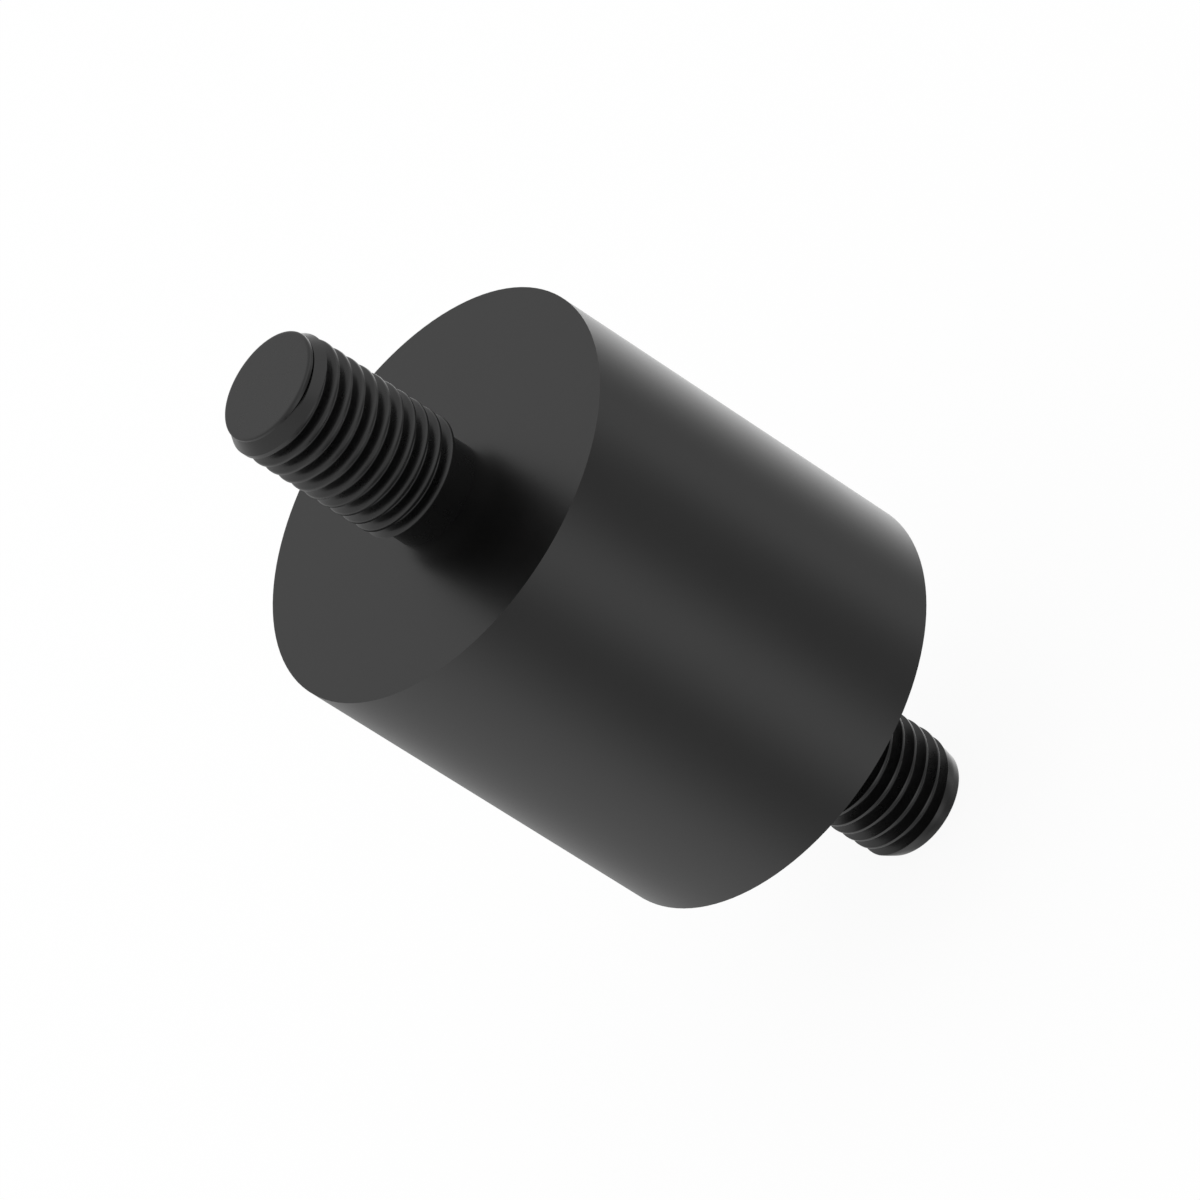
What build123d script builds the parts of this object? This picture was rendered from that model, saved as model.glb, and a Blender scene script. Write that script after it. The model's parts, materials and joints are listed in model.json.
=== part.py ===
from build123d import *
import os
from math import radians, tan

# Rubber block, millimetres throughout
body_diameter = 40.0
body_height = 40.0
face_skin = 1.0  # rubber over the outer side of each plate
rim_cover = 2.0  # rubber between the rim of a plate and the side of the block

# Bonded plates
plate_thickness = 3.0
plate_chamfer = 0.5

# Studs, from the tip outside to the head inside
crest_diameter = 11.75  # over the crests of an M12 x 1.5 thread
stud_length = 19.7  # from the seating face to the tip
tip_chamfer = 0.7
neck_length = 2.6  # plain neck between the seating face and the thread's shoulder
neck_relief = 0.875  # how far the neck lies inside the crests
shoulder_angle = 30.0  # between the thread's shoulder and the seating face
collar_step = 0.375  # how far the collar in the plate stands outside the crests
head_overhang = 2.75  # how far the head reaches past the collar
head_thickness = 2.5
head_chamfer = 0.8

# Sizes that follow from those above, with heights counted from a seating face at zero
crest_radius = crest_diameter / 2
neck_radius = crest_radius - neck_relief
collar_radius = crest_radius + collar_step
head_radius = collar_radius + head_overhang
plate_radius = body_diameter / 2 - rim_cover
shoulder_top = neck_length + neck_relief * tan(radians(shoulder_angle))
plate_top = -face_skin
plate_bottom = plate_top - plate_thickness
head_bottom = plate_bottom - head_thickness


def headed_stud():
    """Turned stud: head behind the plate, collar in it, neck through the skin, thread outside."""
    outline = Polyline(
        (0, head_bottom),
        (head_radius - head_chamfer, head_bottom),
        (head_radius, head_bottom + head_chamfer),
        (head_radius, plate_bottom),
        (collar_radius, plate_bottom),
        (collar_radius, plate_top),
        (neck_radius, plate_top),
        (neck_radius, neck_length),
        (crest_radius, shoulder_top),
        (crest_radius, stud_length - tip_chamfer),
        (crest_radius - tip_chamfer, stud_length),
        (0, stud_length),
        close=True,
    )
    return revolve(Plane.XZ * make_face(outline), Axis.Z)


def bonded_plate():
    """Steel disc just under the seating face, its hole filled by the stud's collar."""
    outline = Polyline(
        (collar_radius, plate_bottom),
        (plate_radius - plate_chamfer, plate_bottom),
        (plate_radius, plate_bottom + plate_chamfer),
        (plate_radius, plate_top - plate_chamfer),
        (plate_radius - plate_chamfer, plate_top),
        (collar_radius, plate_top),
        close=True,
    )
    return revolve(Plane.XZ * make_face(outline), Axis.Z)


def moulded_block(inserts):
    """Rubber cylinder moulded round the inserts, so it meets them face to face."""
    block = extrude(Circle(body_diameter / 2), body_height)
    for insert in inserts:
        block -= insert
    return block


# The stud and the plate are made once, and stand on both ends of the block
upper_end = Pos(0, 0, body_height)
lower_end = Rot(0, 180, 0)
stud = headed_stud()
plate = bonded_plate()

nodes = {
    "upper_plate": upper_end * plate,
    "upper_stud": upper_end * stud,
    "lower_plate": lower_end * plate,
    "lower_stud": lower_end * stud,
}
nodes["rubber_body"] = moulded_block(list(nodes.values()))

os.makedirs("parts", exist_ok=True)
for name, shape in nodes.items():
    export_step(shape, f"parts/{name}.step")
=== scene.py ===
import json
import bmesh
import bpy
from math import atan2, cos, degrees, hypot, pi, radians, sin, sqrt, tan
from mathutils import Matrix, Vector


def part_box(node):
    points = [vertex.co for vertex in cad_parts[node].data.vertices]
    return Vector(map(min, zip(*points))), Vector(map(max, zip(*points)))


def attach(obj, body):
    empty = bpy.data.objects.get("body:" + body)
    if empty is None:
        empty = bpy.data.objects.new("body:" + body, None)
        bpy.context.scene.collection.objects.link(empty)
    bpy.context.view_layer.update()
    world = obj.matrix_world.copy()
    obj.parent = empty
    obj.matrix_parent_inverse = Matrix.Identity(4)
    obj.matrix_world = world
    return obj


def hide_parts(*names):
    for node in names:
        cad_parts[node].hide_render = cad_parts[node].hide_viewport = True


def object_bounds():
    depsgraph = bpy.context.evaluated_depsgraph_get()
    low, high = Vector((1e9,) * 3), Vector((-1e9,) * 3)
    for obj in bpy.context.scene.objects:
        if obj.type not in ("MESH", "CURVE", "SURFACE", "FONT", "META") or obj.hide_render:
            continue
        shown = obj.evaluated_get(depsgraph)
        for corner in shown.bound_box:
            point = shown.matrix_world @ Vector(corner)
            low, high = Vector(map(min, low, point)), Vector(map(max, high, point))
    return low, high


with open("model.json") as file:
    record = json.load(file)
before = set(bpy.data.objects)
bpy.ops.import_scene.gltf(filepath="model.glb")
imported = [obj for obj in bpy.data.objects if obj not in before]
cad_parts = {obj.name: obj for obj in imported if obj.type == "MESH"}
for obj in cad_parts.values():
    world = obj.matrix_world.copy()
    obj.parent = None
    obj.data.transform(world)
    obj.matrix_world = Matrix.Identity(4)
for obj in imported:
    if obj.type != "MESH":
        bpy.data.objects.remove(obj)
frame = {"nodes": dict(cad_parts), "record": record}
cadLow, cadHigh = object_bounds()
print("frame loaded:", ", ".join(sorted(frame["nodes"])))

mm = 0.001
white = (1, 1, 1, 1)
scene = bpy.context.scene
scene.view_settings.view_transform = "Standard"


# adds a shader node, sets its fields and fills its sockets with values or links
def addNode(tree, kind, sockets=None, **fields):
    node = tree.nodes.new(kind)
    for name, value in fields.items():
        setattr(node, name, value)
    for name, value in (sockets or {}).items():
        if isinstance(value, bpy.types.NodeSocket):
            tree.links.new(value, node.inputs[name])
        else:
            node.inputs[name].default_value = value
    return node


# carries a value over from one span to another
def mapRange(tree, value, span, result=(0.0, 1.0), **fields):
    sockets = {"Value": value, "From Min": span[0], "From Max": span[1],
               "To Min": result[0], "To Max": result[1]}
    return addNode(tree, "ShaderNodeMapRange", sockets, **fields).outputs["Result"]


def mixColor(tree, share, first, second):
    sockets = {"Factor": share, "A": first, "B": second}
    return addNode(tree, "ShaderNodeMix", sockets, data_type="RGBA").outputs["Result"]


def calculate(tree, operation, *values):
    return addNode(tree, "ShaderNodeMath", dict(enumerate(values)), operation=operation).outputs[0]


def emptyTree(holder):
    holder.use_nodes = True
    holder.node_tree.nodes.clear()
    return holder.node_tree


def addObject(name, data):
    thing = bpy.data.objects.new(name, data)
    scene.collection.objects.link(thing)
    return thing


# looks down on the upper face, rolled until the upper stud points to the upper left
viewpoint = {
    "target": (0.0, 0.0, 19.95 * mm),
    "distance": 836.04 * mm,
    "lookDown": 32.976,  # degrees below level
    "roll": -57.358,  # degrees
    "lens": 289.85,  # millimetres, as is the sensor
    "sensor": 36.0,
}


def placeCamera(spot):
    body = bpy.data.cameras.new("studioCamera")
    body.lens = spot["lens"]
    body.sensor_width = spot["sensor"]
    camera = addObject("studioCamera", body)
    tilt = Matrix.Rotation(radians(90 - spot["lookDown"]), 4, "X")
    turn = tilt @ Matrix.Rotation(radians(spot["roll"]), 4, "Z")
    back = turn.to_3x3() @ Vector((0, 0, 1))
    place = Vector(spot["target"]) + back * spot["distance"]
    camera.matrix_world = Matrix.Translation(place) @ turn
    scene.camera = camera


placeCamera(viewpoint)
print("camera placed")

# brightness of the white surround, as the glossy surfaces mirror it
# each span is along one axis of the direction looked in, which goes from -1 to 1
surround = {
    # below level, soft boxes with gaps: (degrees round from the near side towards +X, brightness)
    "boxes": ((-140, 0.60), (-74, 1.08), (-27, 0.53), (8, 1.31), (43, 0.49), (61, 0.48),
              (83, 0.87), (107, 0.47), (160, 1.55)),
    "underneath": (-0.94, -0.72),  # along Z, where the boxes fade towards straight down
    "underneathShare": 0.45,  # what is left of them there
    "level": (-0.45, -0.1),  # along Z, where the boxes give way to the light above
    "overhead": 0.865,
    "behind": 0.765,
    "farSide": (0.0, 0.8),  # along Y, from overhead to behind
    # more light above the near side: (place along X, brightness added)
    "lifts": ((-0.7, 0.12), (-0.15, 0.0), (0.15, 0.0), (0.6, 0.38)),
    "nearSide": (-0.2, 0.5),  # along Y, where the lifts fade out
}


# grey that follows a value from -reach to reach, with soft steps between the stops
def greyRamp(tree, value, reach, stops):
    share = mapRange(tree, value, (-reach, reach))
    shades = addNode(tree, "ShaderNodeValToRGB", {"Fac": share})
    ramp = shades.color_ramp
    ramp.interpolation = "EASE"
    while len(ramp.elements) < len(stops):
        ramp.elements.new(0.5)
    for stop, (place, bright) in zip(ramp.elements, stops):
        stop.position = (place / reach + 1) / 2
        stop.color = (bright, bright, bright, 1)
    return shades.outputs["Color"]


# the soft boxes, by the bearing from the near side
def lightBelow(tree, along, light):
    nearness = calculate(tree, "MULTIPLY", along["Y"], -1.0)
    bearing = calculate(tree, "ARCTAN2", along["X"], nearness)
    stops = [(radians(angle), bright) for angle, bright in light["boxes"]]
    boxes = greyRamp(tree, bearing, pi, stops)
    fading = mapRange(tree, along["Z"], light["underneath"], (light["underneathShare"], 1.0),
                      interpolation_type="SMOOTHSTEP")
    dimmed = addNode(tree, "ShaderNodeVectorMath", {0: boxes, "Scale": fading}, operation="SCALE")
    return dimmed.outputs["Vector"]


# plain light, with the lifts on the near side
def lightAbove(tree, along, light):
    lift = greyRamp(tree, along["X"], 1.0, light["lifts"])
    fading = mapRange(tree, along["Y"], light["nearSide"], (1.0, 0.0))
    plain = mapRange(tree, along["Y"], light["farSide"], (light["overhead"], light["behind"]))
    return calculate(tree, "MULTIPLY_ADD", lift, fading, plain)


# mirrors see the soft boxes and gaps, and all else sees plain white
def lightSurround(light):
    world = bpy.data.worlds.new("whiteSurround")
    world.cycles.sampling_method = "NONE"
    scene.world = world
    tree = emptyTree(world)
    direction = addNode(tree, "ShaderNodeTexCoord").outputs["Generated"]
    along = addNode(tree, "ShaderNodeSeparateXYZ", {"Vector": direction}).outputs
    height = mapRange(tree, along["Z"], light["level"], interpolation_type="SMOOTHSTEP")
    mirrored = mixColor(tree, height, lightBelow(tree, along, light), lightAbove(tree, along, light))
    path = addNode(tree, "ShaderNodeLightPath").outputs
    shown = mixColor(tree, path["Is Glossy Ray"], white, mirrored)
    glow = addNode(tree, "ShaderNodeBackground", {"Color": shown, "Strength": 1.0})
    addNode(tree, "ShaderNodeOutputWorld", {"Surface": glow.outputs[0]})


lightSurround(surround)

paleFloor = {
    "color": (0.97, 0.97, 0.97, 1),
    "glow": 0.92,  # share that the camera sees as plain white, the rest takes the shadow
    "half": 4.0,  # metres
    "gap": 0.02 * mm,  # keeps the floor clear of the lower stud's flat end
}


# mirrors and glass see through the floor to the surround
def floorPaint(look):
    material = bpy.data.materials.new("paleFloor")
    tree = emptyTree(material)
    matt = addNode(tree, "ShaderNodeBsdfDiffuse", {"Color": look["color"]})
    plain = addNode(tree, "ShaderNodeEmission", {"Color": white, "Strength": 1.0})
    through = addNode(tree, "ShaderNodeBsdfTransparent")
    path = addNode(tree, "ShaderNodeLightPath").outputs
    seen = calculate(tree, "MULTIPLY", path["Is Camera Ray"], look["glow"])
    shadowed = addNode(tree, "ShaderNodeMixShader", {0: seen, 1: matt.outputs[0], 2: plain.outputs[0]})
    mirrored = calculate(tree, "MAXIMUM", path["Is Glossy Ray"], path["Is Transmission Ray"])
    both = addNode(tree, "ShaderNodeMixShader",
                   {0: mirrored, 1: shadowed.outputs[0], 2: through.outputs[0]})
    addNode(tree, "ShaderNodeOutputMaterial", {"Surface": both.outputs[0]})
    return material


def layFloor(look):
    half, level = look["half"], cadLow.z - look["gap"]
    mesh = bpy.data.meshes.new("paleFloor")
    corners = [(x * half, y * half, level) for x, y in ((-1, -1), (1, -1), (1, 1), (-1, 1))]
    mesh.from_pydata(corners, [], [(0, 1, 2, 3)])
    mesh.materials.append(floorPaint(look))
    floor = addObject("paleFloor", mesh)


layFloor(paleFloor)
print("studio lit")

# what both satin coats share: broad patches shift tone and gloss, a fine grain breaks the light
coatPattern = {
    "patchDetail": 4.0,
    "patchRoughness": 0.55,
    "patchSpan": (0.3, 0.7),  # the part of the noise over which the gloss changes
    "grainDetail": 2.0,
}

# moulded skin of the block, a little duller where it has bloomed
rubber = {
    "color": (0.0004, 0.0004, 0.0004, 1),
    "patchColor": (0.0011, 0.0011, 0.0011, 1),
    "patchScale": 180.0,  # per metre, as is every scale here
    "roughness": (0.295, 0.315),
    "ior": 1.5,
    "grainScale": 7000.0,
    "grainDepth": 0.004 * mm,
}

# oxide black of the studs, a little paler where it is rubbed
steel = {
    "color": (0.0006, 0.0006, 0.0006, 1),
    "patchColor": (0.0011, 0.0011, 0.0012, 1),
    "patchScale": 900.0,
    "roughness": (0.27, 0.29),
    "ior": 1.485,
    "grainScale": 9000.0,
    "grainDepth": 0.002 * mm,
}


def satinCoat(name, look, pattern):
    material = bpy.data.materials.new(name)
    tree = emptyTree(material)
    place = addNode(tree, "ShaderNodeTexCoord").outputs["Object"]
    broad = addNode(tree, "ShaderNodeTexNoise",
                    {"Vector": place, "Scale": look["patchScale"], "Detail": pattern["patchDetail"],
                     "Roughness": pattern["patchRoughness"]})
    patches = broad.outputs["Fac"]
    tone = mixColor(tree, patches, look["color"], look["patchColor"])
    gloss = mapRange(tree, patches, pattern["patchSpan"], look["roughness"])
    fine = addNode(tree, "ShaderNodeTexNoise",
                   {"Vector": place, "Scale": look["grainScale"], "Detail": pattern["grainDetail"]})
    grain = addNode(tree, "ShaderNodeBump",
                    {"Height": fine.outputs["Fac"], "Strength": 1.0, "Distance": look["grainDepth"]})
    coat = addNode(tree, "ShaderNodeBsdfPrincipled",
                   {"Base Color": tone, "Roughness": gloss, "IOR": look["ior"],
                    "Normal": grain.outputs["Normal"]})
    addNode(tree, "ShaderNodeOutputMaterial", {"Surface": coat.outputs[0]})
    return material


def dress(thing, material):
    thing.data.materials.clear()
    thing.data.materials.append(material)


dress(frame["nodes"]["rubber_body"], satinCoat("blackRubber", rubber, coatPattern))
print("rubber block dressed")

plateSteel = {
    "color": (0.30, 0.30, 0.31, 1),
    "pitColor": (0.22, 0.22, 0.23, 1),
    "pitScale": 5000.0,
    "pitDetail": 3.0,
    "pitDepth": 0.02 * mm,
    "roughness": 0.55,
}


# blasted grey steel for the plates sealed in the rubber
def blastedSteel(look):
    material = bpy.data.materials.new("blastedSteel")
    tree = emptyTree(material)
    place = addNode(tree, "ShaderNodeTexCoord").outputs["Object"]
    noise = addNode(tree, "ShaderNodeTexNoise",
                    {"Vector": place, "Scale": look["pitScale"], "Detail": look["pitDetail"]})
    pits = noise.outputs["Fac"]
    tone = mixColor(tree, pits, look["color"], look["pitColor"])
    dents = addNode(tree, "ShaderNodeBump",
                    {"Height": pits, "Strength": 1.0, "Distance": look["pitDepth"]})
    metal = addNode(tree, "ShaderNodeBsdfPrincipled",
                    {"Base Color": tone, "Metallic": 1.0, "Roughness": look["roughness"],
                     "Normal": dents.outputs["Normal"]})
    addNode(tree, "ShaderNodeOutputMaterial", {"Surface": metal.outputs[0]})
    return material


greySteel = blastedSteel(plateSteel)
for name in ("upper_plate", "lower_plate"):
    dress(frame["nodes"][name], greySteel)
print("plates dressed")

# both studs are made upright, with heights counted from the seating face
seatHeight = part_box("rubber_body")[1].z
studLow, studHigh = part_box("upper_stud")
plateLow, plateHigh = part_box("upper_plate")
studPin = next(mount for mount in frame["record"]["mounts"] if mount["name"] == "upper_stud")
stemCentre = (0.0, 0.0)

stud = {
    "pitch": 1.5 * mm,
    "crestRadius": studPin["dims"]["r_mm"] * mm,
    "crestFlat": 0.31 * mm,
    "crestCurve": 0.25 * mm,  # radius on the crest's edge towards the tip
    "flankAngle": 30,  # degrees from square to the axis
    "rootCurve": 0.15 * mm,  # radius in the bottom of the groove
    "turnsFrom": -90,  # degrees from +X: each turn starts on the side towards the camera
    "crestAt": 16.75 * mm,  # last whole crest's middle on that side
    "runOut": (0.30, 0.62),  # turns from there over which the groove above it runs out
    "spareTurns": 3,  # above the tip, trimmed off again
    "tip": studHigh.z - seatHeight,
    "neckRadius": 5.0 * mm,
    "neckLength": 2.6 * mm,
    "neckBand": 0.05 * mm,  # first ring of the neck, keeps the groove's shading off the rest of it
    "shoulderAngle": 30,  # degrees from square to the axis
    "columns": 256,  # points in one turn
    "curveSteps": 5,
    "sharpAngle": 28,  # degrees between faces, from which their edge is sharp
}

# what the rubber hides: the collar in the plate's hole and the head behind the plate
insert = {
    "collarRadius": 6.25 * mm,
    "collarTop": plateHigh.z - seatHeight,
    "headTop": plateLow.z - seatHeight,
    "headRadius": studHigh.x,
    "headBottom": studLow.z - seatHeight,
    "headChamfer": 0.8 * mm,
}

# how close counts as touching, in metres
touching = {
    "point": 1e-7,
    "form": 1e-8,
    "plane": 1e-9,
}


# one pitch of the section, from the middle of a crest to the next: (height, radius)
def threadSection(form):
    pitch, crest, corner = form["pitch"], form["crestRadius"], form["crestFlat"] / 2
    lean = radians(form["flankAngle"])
    sweep = pi / 2 - lean

    def flank(aside):
        return crest - (aside - corner) / tan(lean)

    edge, root, steps = form["crestCurve"], form["rootCurve"], form["curveSteps"]
    points = [(0.0, crest)]
    for step in range(steps + 1):
        turn = sweep * step / steps
        points.append((corner - edge * (tan(sweep / 2) - sin(turn)), crest - edge * (1 - cos(turn))))
    seat = pitch / 2 - root * cos(lean)  # where a flank meets the curve of the root
    halfway = (points[-1][0] + seat) / 2
    points.append((halfway, flank(halfway)))
    centre = flank(seat) + root * sin(lean)
    for step in range(steps + 1):
        turn = sweep * (2 * step / steps - 1)
        points.append((pitch / 2 + root * sin(turn), centre - root * cos(turn)))
    halfway = (corner + seat) / 2
    points.append((pitch - halfway, flank(halfway)))
    points.append((pitch - corner, crest))
    return points


# falls softly from one to zero between two values
def fade(value, first, last):
    gone = min(max((value - first) / (last - first), 0.0), 1.0)
    return 1 - gone * gone * (3 - 2 * gone)


# open tube of thread, its rows climbing one pitch round the tube, right-handed
def threadTube(form):
    section = threadSection(form)
    pitch, columns, crest = form["pitch"], form["columns"], form["crestRadius"]
    below = int(form["crestAt"] / pitch)  # turns under the last whole crest
    above = int(form["tip"] / pitch) + form["spareTurns"] - below
    rows = [(turn, rise, radius) for turn in range(-below - 1, above) for rise, radius in section]
    tube = bmesh.new()
    grid = []
    for turn, rise, radius in rows:
        ring = []
        for column in range(columns):
            angle = 2 * pi * column / columns + radians(form["turnsFrom"])
            past = turn + column / columns  # turns past the last whole crest
            share = fade(past, *form["runOut"])  # of the groove's full size
            reach = crest - (crest - radius) * share
            middle = form["crestAt"] + (past + 0.5) * pitch
            climb = middle + (rise - pitch / 2) * share
            ring.append(tube.verts.new((reach * cos(angle), reach * sin(angle), climb)))
        grid.append(ring)
    for row in range(len(rows) - 1):
        for column in range(columns - 1):
            tube.faces.new((grid[row][column], grid[row][column + 1],
                            grid[row + 1][column + 1], grid[row + 1][column]))
        ahead = row + len(section)  # the row that a full turn leads to
        if ahead + 1 < len(rows):
            tube.faces.new((grid[row][-1], grid[ahead][0], grid[ahead + 1][0], grid[row + 1][-1]))
    bmesh.ops.remove_doubles(tube, verts=tube.verts, dist=touching["point"])
    return tube


# cuts off what lies past a height, upwards for side 1 and downwards for side -1
def trimLevel(tube, height, side):
    parts = tube.verts[:] + tube.edges[:] + tube.faces[:]
    bmesh.ops.bisect_plane(tube, geom=parts, dist=touching["plane"], plane_co=(0, 0, height),
                           plane_no=(0, 0, side), clear_outer=True)


# lays a crisp edge where the thread passes through a turned form, then presses what is proud onto it
def turnDown(tube, centre, limit):
    middle = Vector((centre[0], centre[1], 0.0))

    def proud(vert):
        return hypot(vert.co.x - middle.x, vert.co.y - middle.y) - limit(vert.co.z)

    onForm = [vert for vert in tube.verts if abs(proud(vert)) <= touching["form"]]
    for edge in list(tube.edges):
        low, high = edge.verts
        a, b = proud(low), proud(high)
        if min(abs(a), abs(b)) > touching["form"] and a * b < 0:
            onForm.append(bmesh.utils.edge_split(edge, low, a / (a - b))[1])
    bmesh.ops.connect_verts(tube, verts=onForm)
    for vert in tube.verts:
        over = proud(vert)
        if over > 0:
            aside = (vert.co - middle) * Vector((1, 1, 0))
            vert.co -= aside * (over / aside.length)


def atLevel(vert, height):
    return abs(vert.co.z - height) < touching["point"]


# carries the open rim at a height on through more rings, and closes it at the axis
# a ring is a radius and a level, or a function that gives a point for an angle round the stud
def closeRim(tube, height, rings):
    rim = [edge for edge in tube.edges
           if edge.is_boundary and all(atLevel(vert, height) for vert in edge.verts)]
    for ring in rings:
        made = bmesh.ops.extrude_edge_only(tube, edges=rim)["geom"]
        rim = [item for item in made if isinstance(item, bmesh.types.BMEdge)]
        for vert in {vert for edge in rim for vert in edge.verts}:
            angle = atan2(vert.co.y, vert.co.x)
            if callable(ring):
                vert.co = ring(angle)
            else:
                vert.co = (ring[0] * cos(angle), ring[0] * sin(angle), ring[1])
    made = bmesh.ops.extrude_edge_only(tube, edges=rim)["geom"]
    last = [item for item in made if isinstance(item, bmesh.types.BMVert)]
    bmesh.ops.pointmerge(tube, verts=last, merge_co=(0, 0, last[0].co.z))


# where the ray at an angle round the stud's axis meets a circle, at a level
def onCircle(radius, centre, angle, level):
    ahead = centre[0] * cos(angle) + centre[1] * sin(angle)
    aside = centre[0] * sin(angle) - centre[1] * cos(angle)
    reach = ahead + sqrt(radius * radius - aside * aside)
    return Vector((reach * cos(angle), reach * sin(angle), level))


# point at a share of the soft curve that leaves start towards corner and reaches end
def curved(start, corner, end, share):
    return start.lerp(corner, share).lerp(corner.lerp(end, share), share)


# upper end: a bevel, then a low button a little off centre
# a fine crease parts the two, except on one side where the bevel runs straight into the button
buttonEnd = {
    "bevelFrom": 18.30 * mm,
    "bevel": 0.66,  # how fast the radius shrinks along the stud
    "trimAt": 18.92 * mm,
    "creaseAt": 19.07 * mm,
    "creaseTilt": 0.16 * mm,  # how much higher it lies at its highest than in the middle
    "creaseHighest": -10.0,  # degrees from +X towards +Y
    "creaseRise": 0.08 * mm,
    "creaseDepth": 0.19 * mm,
    "creaseBottom": 0.4,  # share of its rise at which it is deepest
    "plainMiddle": -150.0,
    "plainHalf": (25.0, 95.0),  # degrees to either side, where the crease starts and where it is whole
    "plainWall": (5.14 * mm, 19.41 * mm, 19.62 * mm),  # without the crease: radius, foot and top
    "plainBand": 0.03 * mm,  # last ring of the bevel under that foot, keeps the bend crisp
    "wallRadius": 5.24 * mm,
    "wallTop": 19.50 * mm,
    "wallCentre": (0.10 * mm, 0.17 * mm),
    "flatRadius": 4.98 * mm,
    "flatCentre": (0.03 * mm, 0.19 * mm),
    "flatBand": 0.1 * mm,  # outer ring of the flat end, keeps its shading flat
    "steps": 7,
}


# each end gives the centre and the limit that the thread is turned down to, and the rings that close it
def shapeButton(form, shape):
    tip, flat, flatCentre = form["tip"], shape["flatRadius"], shape["flatCentre"]
    plainRadius, plainFoot, plainTop = shape["plainWall"]

    def limit(level):
        return form["crestRadius"] - (level - shape["bevelFrom"]) * shape["bevel"]

    def onStem(radius, angle, level):
        return onCircle(radius, stemCentre, angle, level)

    def onWall(inside, angle, level):
        return onCircle(shape["wallRadius"] - inside, shape["wallCentre"], angle, level)

    def creaseLevel(angle):
        return shape["creaseAt"] + shape["creaseTilt"] * cos(angle - radians(shape["creaseHighest"]))

    # plain around the plain side's middle, creased away from it
    def between(angle, plain, creased):
        fromMiddle = abs((degrees(angle) - shape["plainMiddle"] + 180) % 360 - 180)
        return creased.lerp(plain, fade(fromMiddle, *shape["plainHalf"]))

    def bevelEnd(angle):
        level = creaseLevel(angle)
        return onStem(limit(level), angle, level)

    def creaseBottom(angle):
        level = plainFoot - shape["plainBand"]
        plain = onStem(limit(level), angle, level)
        level = creaseLevel(angle) + shape["creaseBottom"] * shape["creaseRise"]
        return between(angle, plain, onWall(shape["creaseDepth"], angle, level))

    def wallFoot(angle):
        plain = onStem(plainRadius, angle, plainFoot)
        return between(angle, plain, onWall(0, angle, creaseLevel(angle) + shape["creaseRise"]))

    def shoulder(share):
        def place(angle):
            plain, creased = onStem(plainRadius, angle, plainTop), onWall(0, angle, shape["wallTop"])
            start = between(angle, plain, creased)
            corner = between(angle, onStem(plainRadius, angle, tip), onWall(0, angle, tip))
            return curved(start, corner, onCircle(flat, flatCentre, angle, tip), share)
        return place

    rings = [bevelEnd, creaseBottom, wallFoot]
    rings += [shoulder(step / shape["steps"]) for step in range(shape["steps"] + 1)]
    rings.append(lambda angle: onCircle(flat - shape["flatBand"], flatCentre, angle, tip))
    return stemCentre, limit, rings


# lower end: a land turned off centre, then a slow bevel to the flat end
slantEnd = {
    "landRadius": 5.64 * mm,
    "landCentre": (0.185 * mm, -0.235 * mm),
    "landFrom": 17.90 * mm,
    "trimAt": 18.50 * mm,
    "bevelRings": (0.3, 0.6),  # shares of the bevel
    "roundFrom": 0.88,  # share of the bevel at which its edge starts to round
    "roundTo": 0.15 * mm,  # how far onto the flat end the round reaches
    "flatRadius": 5.22 * mm,
    "flatCentre": (0.0, -0.21 * mm),
    "flatBand": 0.1 * mm,
    "steps": 5,
}


def shapeSlant(form, shape):
    tip, flat, flatCentre = form["tip"], shape["flatRadius"], shape["flatCentre"]
    inner = flat - shape["roundTo"]

    def limit(level):
        return shape["landRadius"] + max(0.0, shape["landFrom"] - level)

    def bevel(share):
        def place(angle):
            start = onCircle(shape["landRadius"], shape["landCentre"], angle, shape["trimAt"])
            return start.lerp(onCircle(flat, flatCentre, angle, tip), share)
        return place

    def roundedEdge(share):
        def place(angle):
            start, corner = bevel(shape["roundFrom"])(angle), bevel(1.0)(angle)
            return curved(start, corner, onCircle(inner, flatCentre, angle, tip), share)
        return place

    rings = [bevel(share) for share in shape["bevelRings"]]
    rings += [roundedEdge(step / shape["steps"]) for step in range(shape["steps"] + 1)]
    rings.append(lambda angle: onCircle(inner - shape["flatBand"], flatCentre, angle, tip))
    return shape["landCentre"], limit, rings


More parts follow.
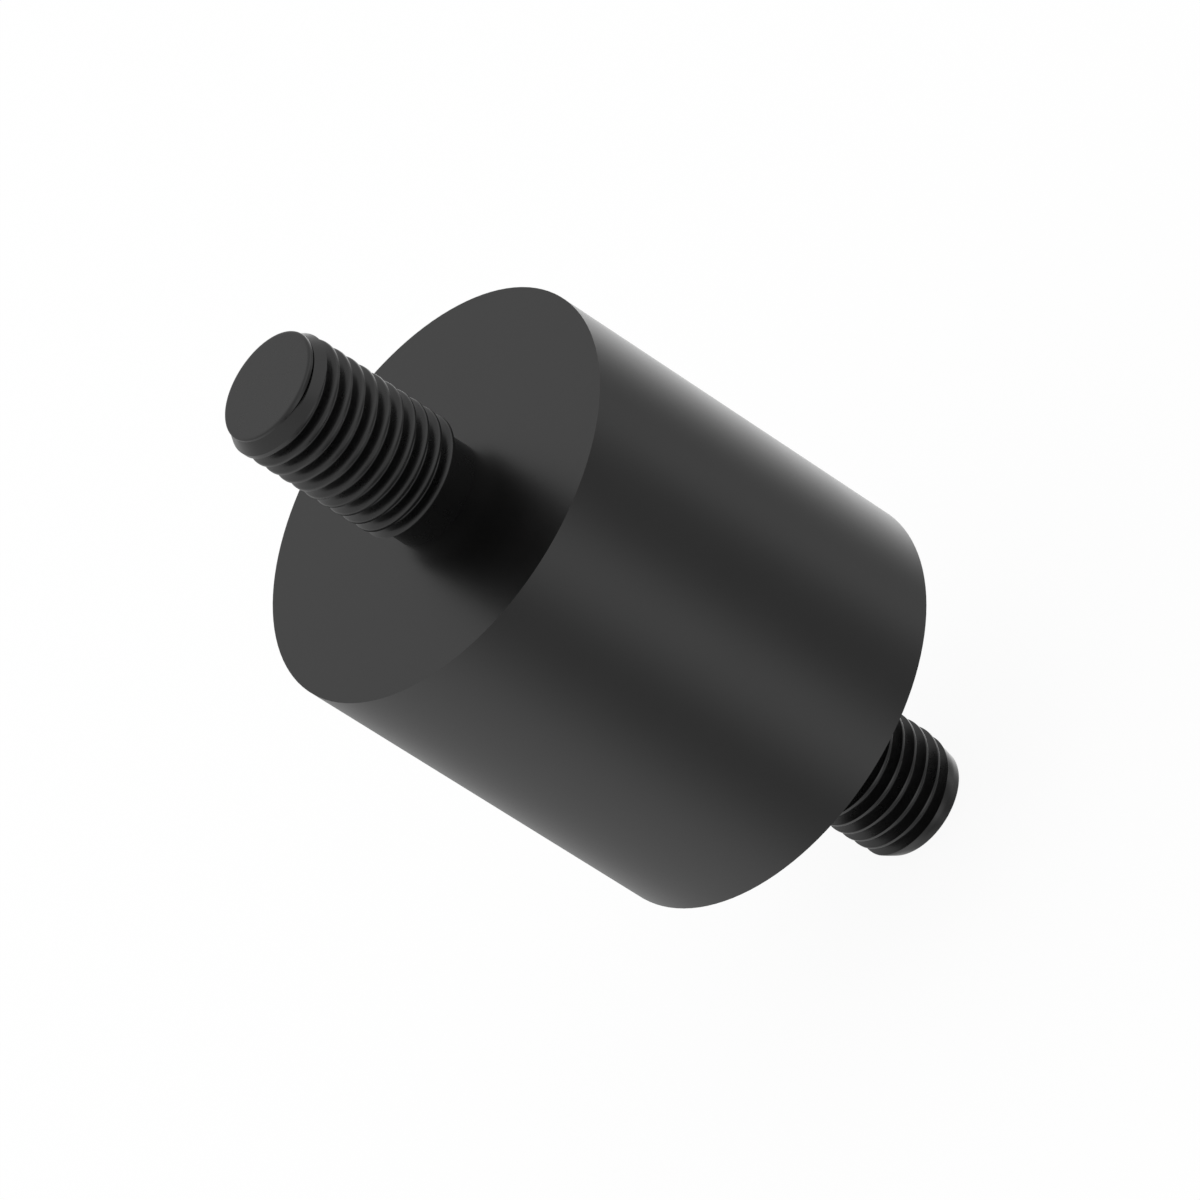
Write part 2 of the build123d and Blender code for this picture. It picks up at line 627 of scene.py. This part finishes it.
# lets the groove's bottom out to the neck where the two meet, so the neck stays round
def roundNeck(tube, radius, height):
    for vert in tube.verts:
        if atLevel(vert, height):
            angle = atan2(vert.co.y, vert.co.x)
            vert.co = onCircle(radius, stemCentre, angle, height)


# from the neck down through the collar to the back of the head
def footRings(form, hidden):
    neck, collar, head = form["neckRadius"], hidden["collarRadius"], hidden["headRadius"]
    return [
        (neck, form["neckLength"] - form["neckBand"]),
        (neck, hidden["collarTop"]),
        (collar, hidden["collarTop"]),
        (collar, hidden["headTop"]),
        (head, hidden["headTop"]),
        (head, hidden["headBottom"] + hidden["headChamfer"]),
        (head - hidden["headChamfer"], hidden["headBottom"]),
    ]


def studMesh(form, shape, shapeEnd, hidden):
    tube = threadTube(form)
    neck, neckTop = form["neckRadius"], form["neckLength"]
    trimLevel(tube, shape["trimAt"], 1)
    trimLevel(tube, neckTop, -1)
    widening = 1 / tan(radians(form["shoulderAngle"]))
    turnDown(tube, stemCentre, lambda level: neck + (level - neckTop) * widening)
    centre, limit, rings = shapeEnd(form, shape)
    turnDown(tube, centre, limit)
    closeRim(tube, shape["trimAt"], rings)
    roundNeck(tube, neck, neckTop)
    closeRim(tube, neckTop, footRings(form, hidden))
    bmesh.ops.recalc_face_normals(tube, faces=tube.faces)
    mesh = bpy.data.meshes.new("threadedStud")
    tube.to_mesh(mesh)
    tube.free()
    mesh.polygons.foreach_set("use_smooth", [True] * len(mesh.polygons))
    mesh.set_sharp_from_angle(angle=radians(form["sharpAngle"]))
    return mesh


upperMesh = studMesh(stud, buttonEnd, shapeButton, insert)
lowerMesh = studMesh(stud, slantEnd, shapeSlant, insert)
upperMesh.transform(Matrix.Translation((0, 0, seatHeight)))
lowerMesh.transform(Matrix.Rotation(pi, 4, "Y"))
blackSteel = satinCoat("blackSteel", steel, coatPattern)
for end, mesh in (("upper", upperMesh), ("lower", lowerMesh)):
    piece = addObject(end + "_threaded_stud", mesh)
    dress(piece, blackSteel)
    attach(piece, "root")
    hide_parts(end + "_stud")
print("studs threaded:", len(upperMesh.polygons), "and", len(lowerMesh.polygons), "faces")
